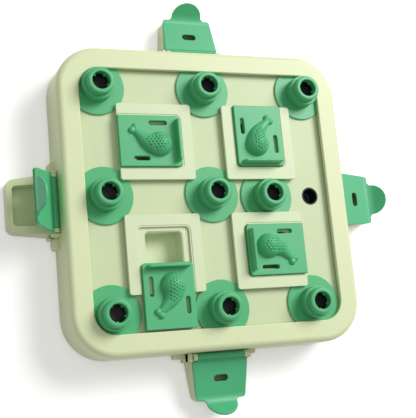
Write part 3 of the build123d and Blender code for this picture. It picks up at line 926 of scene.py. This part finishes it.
@dataclass
class Peg(Assembly):
    """Stepped hollow tower on a disc, with a ring of teeth in its bore."""

    disc: float = 25.6
    disc_top: float = 2.0
    disc_low_edge: float = 0.3
    disc_edge: float = 0.7
    height: float = 20.5
    ledge: float = 13.4
    tiers: Point = (14.4, 12.0)
    tier_foot: float = 0.4
    ledge_edge: float = 0.8
    top_edge: float = 2.0
    bore: float = 7.8
    bore_edge: float = 1.0
    wall: float = 1.7
    turn: float = 12.0
    teeth: int = 5
    first_tooth: float = -90.0
    tooth_reach: float = 1.3
    tooth_root: float = 0.4
    tooth_width: float = 1.8
    tooth_corner: float = 0.5
    tooth_edge: float = 0.35
    tooth_drop: float = 4.5
    tooth_height: float = 2.2

    def profile(self) -> list[Point]:
        """Draws the half section of the peg.

        Returns:
            Radius and height of each point.
        """
        gap = self.board.slide_gap
        inner = [radius - self.wall for radius in self.tiers]
        tooth_low = self.height - self.tooth_drop - self.tooth_height
        return rounded(
            [
                (inner[0], gap, 0.0),
                (self.disc, gap, self.disc_low_edge),
                (self.disc, self.disc_top, self.disc_edge),
                (self.tiers[0], self.disc_top, self.tier_foot),
                (self.tiers[0], self.ledge, self.ledge_edge),
                (self.tiers[1], self.ledge, self.tier_foot),
                (self.tiers[1], self.height, self.top_edge),
                (self.bore, self.height, self.bore_edge),
                (self.bore, tooth_low, 0.0),
                (inner[1], tooth_low, 0.0),
                (inner[1], self.ledge - self.wall, 0.0),
                (inner[0], self.ledge - self.wall, 0.0),
            ],
            turn=self.turn,
        )

    def build(self) -> None:
        """Builds the nine pegs."""
        finish = self.palette.get(Finish.JADE_ABS_PEG)
        for name, (x, y) in self.board.pegs.items():
            shape = Moulding()
            shape.lathe(self.profile())
            self.add_teeth(shape)
            place = heading(0, x, y, self.board.deck_top)
            piece = shape.finish(f"sliding_peg_{name}", finish, place)
            install(piece, f"{name}_peg", "peg", f"peg_{name}")

    def add_teeth(self, shape: Moulding) -> None:
        """Adds the ring of teeth.

        Args:
            shape: the mesh that they go into.
        """
        top, half = self.height - self.tooth_drop, self.tooth_width / 2
        low, high = (self.bore - self.tooth_reach, -half), (self.bore + self.tooth_root, half)
        tooth = box_outline(low, high, self.tooth_corner)
        for index in range(self.teeth):
            turn = heading(self.first_tooth + 360 * index / self.teeth)
            shape.plate([tooth], top - self.tooth_height, top, self.tooth_edge, turn)


@dataclass
class Drumstick:
    """Handle in the shape of a drumstick, measured from the panel's inner end."""

    meat: Corner = (20.0, 3.2, 11.4)
    shank: tuple[Corner, ...] = (
        (26.6, 2.5, 9.6),
        (32.6, -0.2, 7.0),
        (37.4, -4.6, 4.8),
        (42.2, -9.4, 3.3),
    )
    knuckles: tuple[Corner, ...] = ((45.0, -9.1, 3.4), (41.9, -12.2, 3.4))
    sink: float = 0.1
    steps: int = 5
    turn: float = 9.0
    ball_turn: float = 6.0
    voxel: float = 0.3
    smoothing: int = 20
    smoothing_share: float = 0.5
    root: float = 0.4
    dimple_pitch: float = 3.1
    dimple_row: float = 2.6
    dimple_radius: float = 1.0
    dimple_depth: float = 1.1
    patch_centre: Point = (24.0, 2.3)
    patch_reach: Point = (11.6, 6.6)
    steepest: float = 0.3

    def sections(self) -> list[Vector]:
        """Draws a smooth line through the stations.

        Returns:
            Centre and radius of each section.
        """
        stations = [Vector(station) for station in (self.meat, *self.shank)]
        first, last = stations[0] * 2 - stations[1], stations[-1] * 2 - stations[-2]
        run = [first, *stations, last]
        out = [stations[0]]
        for before, start, end, after in zip(run, run[1:], run[2:], run[3:]):
            for step in range(1, self.steps + 1):
                t = step / self.steps
                bend = (2 * before - 5 * start + 4 * end - after) * t * t
                twist = (3 * start - before - 3 * end + after) * t * t * t
                out.append((2 * start + (end - before) * t + bend + twist) / 2)
        return out

    def rings(self) -> list[list[Vector]]:
        """Draws the cross-sections along the bent axis.

        Returns:
            Their loops, from the round end to the knuckles.
        """
        stations = self.sections()
        turns = [radians(self.turn * step) for step in range(round(360 / self.turn))]
        out: list[list[Vector]] = []
        for index, (x, y, radius) in enumerate(stations):
            before = stations[max(index - 1, 0)]
            after = stations[min(index + 1, len(stations) - 1)]
            along = Vector((after.x - before.x, after.y - before.y, 0)).normalized()
            side = Vector((-along.y, along.x, 0)) * radius
            centre = Vector((x, y, -self.sink * radius))
            up = Vector((0, 0, radius))
            out.append([centre + side * cos(a) + up * sin(a) for a in turns])
        return out

    def add_ball(self, shape: Moulding, x: float, y: float, radius: float) -> None:
        """Adds a sphere that is sunk by its share into the panel.

        Args:
            shape: the mesh that it goes into.
            x: place of its centre along the panel.
            y: place of its centre across the panel.
            radius: its radius.
        """
        half_turn = round(180 / self.ball_turn)
        arc = [radians(-90 + self.ball_turn * step) for step in range(half_turn + 1)]
        profile = [(radius * cos(a), radius * sin(a)) for a in arc]
        place = Matrix.Translation((x, y, -self.sink * radius))
        shape.lathe(profile, 2 * half_turn, closed=False, place=place)

    def dimple(self, point: Vector, normal: Vector) -> Vector:
        """Presses the rows of dimples into the meat.

        Args:
            point: a point of the skin.
            normal: the skin's normal there.

        Returns:
            Where the point goes.
        """
        row = round((point.y - self.meat[1]) / self.dimple_row)
        shift = self.dimple_pitch / 2 if row % 2 else 0.0
        column = round((point.x - self.meat[0] - shift) / self.dimple_pitch)
        x = self.meat[0] + shift + column * self.dimple_pitch
        y = self.meat[1] + row * self.dimple_row
        (middle_x, middle_y), (reach_x, reach_y) = self.patch_centre, self.patch_reach
        away = hypot((x - middle_x) / reach_x, (y - middle_y) / reach_y)
        reach = hypot(point.x - x, point.y - y) / self.dimple_radius
        if away > 1 or reach > 1 or normal.z < self.steepest:
            return point
        return point - normal * (self.dimple_depth * (1 - reach * reach))

    def mesh(self) -> bpy.types.Mesh:
        """Builds the handle.

        Returns:
            A mesh that stands on z = 0, with its root below.
        """
        shape = Moulding()
        shape.loft(self.rings(), cap_start=True, cap_end=True)
        for ball in (self.meat, *self.knuckles):
            self.add_ball(shape, *ball)
        rough = bpy.data.meshes.new("drumstick")
        shape.mesh.to_mesh(rough)
        shape.mesh.free()
        holder = add_object("drumstick", rough)
        remesh = holder.modifiers.new("skin", "REMESH")
        remesh.mode = "VOXEL"
        remesh.voxel_size = self.voxel
        skin = take_mesh(holder)
        bpy.data.meshes.remove(rough)
        work = bmesh.new()
        work.from_mesh(skin)
        axes = {f"use_axis_{axis}": True for axis in "xyz"}
        for _ in range(self.smoothing):
            bmesh.ops.smooth_vert(work, verts=work.verts, factor=self.smoothing_share, **axes)
        cut = {"plane_co": (0, 0, -self.root), "plane_no": (0, 0, -1), "clear_outer": True}
        bmesh.ops.bisect_plane(work, geom=geometry(work), **cut)
        work.normal_update()
        moved = [self.dimple(vertex.co.copy(), vertex.normal.copy()) for vertex in work.verts]
        for vertex, point in zip(work.verts, moved):
            vertex.co = point
        work.to_mesh(skin)
        work.free()
        return skin


@dataclass
class Panel(Assembly):
    """Sliding panel with a finger ridge, a drumstick handle and two scent slots."""

    handle: Drumstick = field(default_factory=Drumstick)
    length: float = 56.9
    width: float = 46.4
    start: float = -22.3
    bottom: float = 3.4
    thickness: float = 5.0
    edge: float = 0.6
    corner: float = 3.2
    outer_corner: float = 0.6
    runner_start: float = 4.0
    runner_end: float = 25.5
    runner_width: float = 50.6
    runner_thickness: float = 0.9
    runner_root: float = 1.0
    runner_corner: float = 0.4
    runner_edge: float = 0.1
    ridge_place: float = 3.4
    ridge_base: float = 3.6
    ridge_lean: float = 5.5
    ridge_edge: float = 0.6
    ridge_turn: float = 22.5
    ridge_length: float = 38.6
    ridge_height: float = 8.0
    ridge_sink: float = 0.4
    ridge_corner_share: float = 0.6
    slots: tuple[Triple, ...] = ((20.4, -16.2, 17.0), (37.3, 16.0, 15.0))
    slot_width: float = 3.8
    drawn: float = 30.5

    def build(self) -> None:
        """Builds the four panels, the front left one drawn partly open."""
        handle = self.handle.mesh()
        finish = self.palette.get(Finish.JADE_ABS)
        for name, (x, y, angle) in self.board.frames.items():
            shape = Moulding()
            self.add_plates(shape)
            self.add_ridge(shape)
            shape.add_mesh(handle.copy(), Matrix.Translation((0, 0, self.thickness)))
            out = self.start + (self.drawn if name == "front_left" else 0.0)
            level = self.board.deck_top + self.bottom
            place = heading(angle, x, y, level) @ Matrix.Translation((out, 0, 0))
            piece = shape.finish(f"sliding_panel_{name}", finish, place)
            install(piece, f"{name}_panel", "panel", f"panel_{name}")
        bpy.data.meshes.remove(handle)

    def add_plates(self, shape: Moulding) -> None:
        """Adds the panel's plate and the two runners at its sides.

        Args:
            shape: the mesh that they go into.
        """
        half = self.width / 2
        outline = rounded(
            [
                (0, -half, self.corner),
                (self.length, -half, self.outer_corner),
                (self.length, half, self.outer_corner),
                (0, half, self.corner),
            ]
        )
        holes = [slot_outline((x, y), length, self.slot_width) for x, y, length in self.slots]
        shape.plate([outline, *holes], 0, self.thickness, self.edge)
        for sign in (-1, 1):
            low, high = sorted((sign * (half - self.runner_root), sign * self.runner_width / 2))
            ends = (self.runner_start, low), (self.runner_end, high)
            strip = box_outline(*ends, self.runner_corner)
            shape.plate([strip], 0, self.runner_thickness, self.runner_edge)

    def add_ridge(self, shape: Moulding) -> None:
        """Adds the finger ridge: a bar with leaning sides and rounded edges.

        Args:
            shape: the mesh that it goes into.
        """
        slope = tan(radians(self.ridge_lean))
        shoulder = self.ridge_height - self.ridge_edge
        levels = [(0.0, -self.ridge_sink), (0.0, 0.0), (shoulder * slope, shoulder)]
        for step in range(1, round(90 / self.ridge_turn) + 1):
            turn = radians(self.ridge_turn * step)
            inset = shoulder * slope + self.ridge_edge * (1 - cos(turn))
            levels.append((inset, shoulder + self.ridge_edge * sin(turn)))
        rings = []
        for inset, height in levels:
            x, y = self.ridge_base / 2 - inset, self.ridge_length / 2 - inset
            low, high = (self.ridge_place - x, -y), (self.ridge_place + x, y)
            ring = box_outline(low, high, x * self.ridge_corner_share)
            rings.append([Vector((px, py, self.thickness + height)) for px, py in ring])
        shape.loft(rings, cap_end=True)


@dataclass
class Lid(Assembly):
    """Hinged tray lid with a curled-up tab."""

    hinge_distance: float = 139.8
    hinge_height: float = 25.0
    slope: float = 11.8
    opened: float = 68.8
    barrel: float = 3.0
    barrel_half: float = 21.9
    barrel_edge: float = 0.4
    barrel_turn: float = 30.0
    barrel_facets: int = 40
    pin: float = 1.5
    pin_half: float = 25.7
    pin_edge: float = 0.3
    root: float = 4.0
    root_half: float = 26.0
    root_corner: float = 0.5
    end: float = 38.2
    end_half: float = 23.5
    end_corner: float = 3.0
    tab_root: float = 17.0
    tab_half: float = 14.6
    tab_fillet: float = 2.4
    tab_turn: float = 7.5
    thickness: float = 2.0
    edge: float = 0.45
    skirt_start: float = 4.7
    skirt_end: float = 36.6
    skirt_drop: float = 1.7
    skirt_wall: float = 1.6
    skirt_overlap: float = 0.3
    skirt_edge: float = 0.25
    skirt_corners: Triple = (0.3, 2.6, 1.0)
    curl_start: float = 34.0
    curl_radius: float = 10.5
    curl_angle: float = 55.5
    curl_step: float = 0.7
    curl_steps: int = 16
    tab_length: float = 10.9
    slot_place: float = 20.1
    slot_size: Point = (13.4, 6.0)
    strip_corner: float = 0.2
    strip_edge: float = 0.15
    neck_overlap: float = 0.5
    neck_edge: float = 0.2
    groove_place: float = 5.2
    groove_width: float = 0.9
    groove_depth: float = 0.5
    bed_lead: float = 0.1
    bed_overlap: float = 1.0
    bed_inset: float = 0.2
    bed_edge: float = 0.1

    def curl(self, point: Vector) -> Vector:
        """Bends a point of the flat sheet up along the curl.

        Args:
            point: the point on the flat sheet.

        Returns:
            Where it goes.
        """
        past = point.x - self.curl_start
        if past <= 0:
            return point
        bend = radians(self.curl_angle)
        turn = min(past / self.curl_radius, bend)
        reach = self.curl_radius - point.z
        straight = max(past - bend * self.curl_radius, 0.0)
        x = self.curl_start + reach * sin(turn) + straight * cos(turn)
        z = self.curl_radius - reach * cos(turn) + straight * sin(turn)
        return Vector((x, point.y, z))

    def flat_length(self, plan: float) -> float:
        """Length along the sheet at which the curled sheet reaches a distance in plan."""
        past = plan - self.curl_start
        return self.curl_start + self.curl_radius * asin(past / self.curl_radius)

    def outline(self, start: float) -> list[Corner]:
        """Draws the flat sheet.

        Args:
            start: distance from the hinge at which it starts.

        Returns:
            Its corners and their radii.
        """
        full = self.curl_start + self.curl_radius * radians(self.curl_angle) + self.tab_length
        shoulder = self.flat_length(self.end)
        slope = (self.root_half - self.end_half) / (self.end - self.root)
        first = self.root_half - slope * max(start - self.root, 0.0)
        straight = full - self.tab_half
        side = [(start, first, self.root_corner), (shoulder, self.end_half, self.end_corner)]
        side += [(shoulder, self.tab_root, self.tab_fillet), (straight, self.tab_half, 0.0)]
        steps = range(1, round(180 / self.tab_turn))
        arc = [radians(90 - self.tab_turn * step) for step in steps]
        tip = [(straight + self.tab_half * cos(a), self.tab_half * sin(a), 0.0) for a in arc]
        return side + tip + mirrored(side)

    def build(self) -> None:
        """Builds the four lids, the left one standing open."""
        finish = self.palette.get(Finish.JADE_ABS_LID)
        for name, angle in self.board.sides.items():
            shape = Moulding()
            self.add_sheet(shape)
            self.add_skirt(shape)
            self.add_barrel(shape)
            opening = self.opened if name == "left" else 0.0
            hinge = Matrix.Translation((self.hinge_distance, 0, self.hinge_height))
            tilt = Matrix.Rotation(radians(self.slope - opening), 4, "Y")
            piece = shape.finish(f"hinged_lid_{name}", finish, heading(angle) @ hinge @ tilt)
            install(piece, f"{name}_lid", "lid", f"lid_{name}")

    def add_sheet(self, shape: Moulding) -> None:
        """Adds the curled sheet, the hinge strip, the neck and the groove's bed.

        Args:
            shape: the mesh that they go into.
        """
        low = -self.thickness
        groove_start = self.groove_place - self.groove_width / 2
        groove_end = self.groove_place + self.groove_width / 2
        slot = slot_outline((self.slot_place, 0), *self.slot_size, across=True)
        cuts = [self.curl_start + self.curl_step * step for step in range(self.curl_steps)]
        sheet = rounded(self.outline(groove_end))
        shape.plate([sheet, slot], low, 0, self.edge, shift=self.curl, cuts=cuts)
        strip = (self.root, groove_start, self.root_half, 0, self.strip_edge)
        neck = (0, self.root + self.neck_overlap, self.barrel_half, 0, self.neck_edge)
        bed_start, bed_end = self.root + self.bed_lead, groove_end + self.bed_overlap
        bed_half = self.root_half - self.bed_inset
        bed = (bed_start, bed_end, bed_half, -self.groove_depth, self.bed_edge)
        for start, end, half, high, edge in (strip, neck, bed):
            outline = box_outline((start, -half), (end, half), self.strip_corner)
            shape.plate([outline], low, high, edge)

    def add_skirt(self, shape: Moulding) -> None:
        """Adds the skirt that sits on the tray's rim.

        Args:
            shape: the mesh that it goes into.
        """
        start, end, wall = self.skirt_start, self.skirt_end, self.skirt_wall
        root_corner, end_corner, inner_corner = self.skirt_corners
        outer = [(start, self.root_half, root_corner), (end, self.end_half, end_corner)]
        inner = [(start + wall, self.root_half - wall), (end - wall, self.end_half - wall)]
        inner = [(x, y, inner_corner) for x, y in inner]
        loops = [rounded(side + mirrored(side)) for side in (outer, inner)]
        low, high = -self.thickness - self.skirt_drop, -self.thickness + self.skirt_overlap
        shape.plate(loops, low, high, self.skirt_edge)

    def add_barrel(self, shape: Moulding) -> None:
        """Adds the hinge barrel and the stubs at its ends.

        Args:
            shape: the mesh that they go into.
        """
        sideways = Matrix.Rotation(radians(90), 4, "X")
        barrel = (self.barrel, self.barrel_half, self.barrel_edge)
        for radius, half, edge in (barrel, (self.pin, self.pin_half, self.pin_edge)):
            corners = [(0, -half, 0), (radius, -half, edge), (radius, half, edge), (0, half, 0)]
            profile = rounded(corners, closed=False, turn=self.barrel_turn)
            shape.lathe(profile, self.barrel_facets, closed=False, place=sideways)


@dataclass
class Tray(Assembly):
    """Tapered treat box that hangs on the board's side."""

    lid: Lid
    root_half: float = 26.8
    end: float = 178.4
    end_half: float = 22.8
    corner: float = 7.0
    start: float = 143.6
    block_overlap: float = 1.0
    edge: float = 0.5
    wall: float = 2.2
    floor: float = 2.0
    floor_overlap: float = 1.0
    floor_rise: float = 0.2
    floor_corner: float = 3.0
    floor_edge: float = 0.1
    rim: float = 5.2
    level: float = 30.0
    well_half: float = 18.0
    well_end_half: float = 17.4
    well_corner: float = 3.0
    rim_offset: float = 4.0
    block_half: float = 29.4
    block_start: float = 136.2
    block_corner: float = 0.4
    block_edge: float = 0.3
    shoulder_top: float = 25.5
    ear_start: float = 22.4
    ear_thickness: float = 3.6
    ear_slot: float = 0.6
    ear_radius: float = 3.2
    ear_low: float = 14.0
    ear_edge: float = 0.35
    pin_clear: float = 0.06
    tongue_start: float = 137.4
    tongue_end: float = 139.2
    tongue_half: float = 30.9
    tongue_top: float = 13.5
    tongue_corner: float = 0.3
    tongue_edge: float = 0.2

    def lean(self, point: Vector) -> Vector:
        """Leans the top of a plate with the lid.

        Args:
            point: a point of the plate with a level top.

        Returns:
            Where it goes: down to the sloping rim in the top half, and else where it is.
        """
        if point.z < self.level / 2:
            return point
        slope = radians(self.lid.slope)
        drop = self.rim_offset / cos(slope)
        rim = self.lid.hinge_height - (point.x - self.lid.hinge_distance) * tan(slope) - drop
        return Vector((point.x, point.y, rim - (self.level - point.z)))

    def build(self) -> None:
        """Builds the four trays."""
        finish = self.palette.get(Finish.LIME_ABS_TRAY)
        for name, angle in self.board.sides.items():
            shape = Moulding()
            self.add_box(shape)
            self.add_hinge(shape)
            piece = shape.finish(f"treat_tray_{name}", finish, heading(angle))
            install(piece, BOARD, "tray", f"tray_{name}")

    def add_box(self, shape: Moulding) -> None:
        """Adds the box, its floor and the block that carries the hinge.

        Args:
            shape: the mesh that they go into.
        """
        base, root = self.board.foot_height, self.start - self.block_overlap
        first, last = self.start + self.wall, self.end - self.rim
        outer = [(self.end, self.end_half, self.corner), (root, self.root_half, 0)]
        inner = [(last, self.well_end_half), (first, self.well_half)]
        inner = [(x, y, self.well_corner) for x, y in inner]
        loops = [rounded([*side[1:], *mirrored(side), side[0]]) for side in (outer, inner)]
        shape.plate(loops, base, self.level, self.edge, shift=self.lean)
        lap, half = self.floor_overlap, self.well_half + self.floor_overlap
        floor = box_outline((first - lap, -half), (last + lap, half), self.floor_corner)
        shape.plate([floor], base + self.floor_rise, base + self.floor, self.floor_edge)
        low, high = (self.block_start, -self.block_half), (self.start, self.block_half)
        block = box_outline(low, high, self.block_corner)
        shape.plate([block], base, self.level, self.block_edge, shift=self.lean)

    def add_hinge(self, shape: Moulding) -> None:
        """Adds the ears, the shoulders beside them and the tongues for the docks.

        Args:
            shape: the mesh that they go into.
        """
        x, z = self.lid.hinge_distance, self.lid.hinge_height
        radius, round_end = self.ear_radius, self.ear_radius - END_FLAT
        upright = Matrix.Rotation(radians(90), 4, "X")
        ear = rounded(
            [
                (x + radius, self.ear_low, 0.0),
                (x + radius, z + radius, round_end),
                (x - radius, z + radius, round_end),
                (x - radius, self.ear_low, 0.0),
            ]
        )
        hole = circle_outline((x, z), self.lid.pin + self.pin_clear)
        ear_end = self.ear_start + self.ear_thickness
        for sign in (-1, 1):
            low, high = sorted((sign * self.ear_start, sign * ear_end))
            shape.plate([ear, hole], -high, -low, self.ear_edge, upright)
            low, high = sorted((sign * (ear_end + self.ear_slot), sign * self.block_half))
            shoulder = box_outline((self.block_start, low), (self.start, high), self.block_corner)
            shape.plate([shoulder], self.ear_low, self.shoulder_top, self.block_edge)
        low, high = (self.tongue_start, -self.tongue_half), (self.tongue_end, self.tongue_half)
        tongue = box_outline(low, high, self.tongue_corner)
        base = self.board.foot_height
        shape.plate([tongue], base + self.floor, base + self.tongue_top, self.tongue_edge)


@dataclass
class PlainNodes:
    """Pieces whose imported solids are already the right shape.

    Attributes:
        palette: the materials.
        nodes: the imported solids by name.
        finishes: finish of each solid, by how its name starts.
    """

    palette: Palette
    nodes: dict[str, bpy.types.Object]
    finishes: dict[str, Finish] = field(
        default_factory=lambda: {
            # the deck takes the track finish, whose colour holds painted shade
            "deck": Finish.LIME_ABS_TRACK_SHADED,
            "deck_bosses": Finish.LIME_ABS,
            "bottom_cover": Finish.LIME_ABS,
            "treat_cup": Finish.BLACK_PP,
            "peg_floor": Finish.BLACK_PP,
            "foot": Finish.FOOT_RUBBER,
            "cover_screws": Finish.SCREW_STEEL,
            "deck_screws": Finish.SCREW_STEEL,
        }
    )

    def build(self) -> None:
        """Gives each solid that still shows its finish, by the longest start that fits."""
        for name, node in self.nodes.items():
            if node.hide_render:
                continue
            fitting = [start for start in self.finishes if name.startswith(start)]
            if not fitting:
                log.warning("%s has no finish", name)
                continue
            node.data.materials.clear()
            node.data.materials.append(self.palette.get(self.finishes[max(fitting, key=len)]))
            log.info("%s keeps its solid", name)


# ---------------------------------------------------------------- studio


@dataclass(frozen=True)
class Lamp:
    """Square area lamp that faces the middle of the board."""

    name: str
    place: Triple
    size: float
    power: float

    def build(self) -> None:
        """Hangs the lamp."""
        lamp = bpy.data.lights.new(self.name, "AREA")
        lamp.shape = "SQUARE"
        lamp.size = self.size
        lamp.energy = self.power
        holder = add_object(self.name, lamp)
        holder.location = self.place
        holder.rotation_mode = "QUATERNION"
        holder.rotation_quaternion = Vector(self.place).to_track_quat("Z", "Y")


@dataclass
class Studio:
    """Pale floor, soft light and the camera."""

    floor_size: float = 4.4
    paper: str = "#fbfbf9"
    paper_glow: float = 0.3
    bounce: str = "#e8e8e4"
    light: str = "#ffffff"
    camera_mm: Triple = (-310.2, -158.8, 772.4)
    camera_turn: Triple = (12.7135, -21.5255, -5.723)
    lens_mm: float = 78.23
    sensor_mm: float = 36.0
    key: Lamp = Lamp("key_softbox", (1.75, 1.3, 2.2), 1.6, 78.0)
    overhead: Lamp = Lamp("overhead_softbox", (-0.5, -0.1, 2.1), 1.6, 7.0)
    sky: float = 0.28

    def build(self) -> None:
        """Builds the floor, the light and the camera."""
        self.build_floor()
        self.build_light()
        self.build_camera()
        bpy.context.scene.view_settings.view_transform = "Standard"

    def build_floor(self) -> None:
        """Lays a white floor that shows white and keeps the soft shadow."""
        half = self.floor_size / 2
        mesh = bpy.data.meshes.new("studio_floor")
        corners = [(-half, -half, 0), (half, -half, 0), (half, half, 0), (-half, half, 0)]
        mesh.from_pydata(corners, [], [(0, 1, 2, 3)])
        floor = add_object("studio_floor", mesh)
        material = bpy.data.materials.new("white_paper")
        tree = empty_tree(material)
        path = add_node(tree, "ShaderNodeLightPath")
        seen = add_node(
            tree,
            "ShaderNodeMath",
            None,
            {0: path.outputs["Is Camera Ray"], 1: path.outputs["Is Glossy Ray"]},
            operation="MAXIMUM",
        )
        lit = add_node(tree, "ShaderNodeBsdfDiffuse", {"Color": linear(self.paper)})
        glow = add_node(
            tree, "ShaderNodeEmission", {"Color": linear(self.light), "Strength": self.paper_glow}
        )
        both = {0: lit.outputs[0], 1: glow.outputs[0]}
        shown = add_node(tree, "ShaderNodeAddShader", None, both)
        # to the object the paper is greyer, so that its walls keep their own shade
        bounce = add_node(tree, "ShaderNodeBsdfDiffuse", {"Color": linear(self.bounce)})
        mix = add_node(
            tree,
            "ShaderNodeMixShader",
            None,
            {0: seen.outputs[0], 1: bounce.outputs[0], 2: shown.outputs[0]},
        )
        add_node(tree, "ShaderNodeOutputMaterial", None, {"Surface": mix.outputs[0]})
        mesh.materials.append(material)

    def build_light(self) -> None:
        """Sets a large key lamp at the back right, an overhead one and an even pale sky."""
        self.key.build()
        self.overhead.build()
        world = bpy.data.worlds.new("studio_sky")
        bpy.context.scene.world = world
        tree = empty_tree(world)
        path = add_node(tree, "ShaderNodeLightPath")
        colour = linear(self.light)
        plain = add_node(tree, "ShaderNodeBackground", {"Color": colour, "Strength": self.sky})
        white = add_node(tree, "ShaderNodeBackground", {"Color": colour, "Strength": 1.0})
        mix = add_node(
            tree,
            "ShaderNodeMixShader",
            None,
            {0: path.outputs["Is Camera Ray"], 1: plain.outputs[0], 2: white.outputs[0]},
        )
        add_node(tree, "ShaderNodeOutputWorld", None, {"Surface": mix.outputs[0]})

    def build_camera(self) -> None:
        """Places the camera above the board's front left."""
        data = bpy.data.cameras.new("camera")
        data.sensor_fit = "HORIZONTAL"
        data.sensor_width = self.sensor_mm
        data.lens = self.lens_mm
        camera = add_object("camera", data)
        camera.location = [value * MM for value in self.camera_mm]
        camera.rotation_euler = [radians(value) for value in self.camera_turn]
        bpy.context.scene.camera = camera


# ---------------------------------------------------------------- assembly


def main() -> None:
    """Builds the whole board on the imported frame."""
    logging.basicConfig(level=logging.INFO, format="%(name)s: %(message)s")
    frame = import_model()
    board, palette = Board(), Palette()
    Housing(board, palette).build()
    GuideFrame(board, palette).build()
    Peg(board, palette).build()
    Panel(board, palette).build()
    lid = Lid(board, palette)
    lid.build()
    Tray(board, palette, lid).build()
    PlainNodes(palette, frame["nodes"]).build()
    Studio().build()


if __name__ == "__main__":
    main()
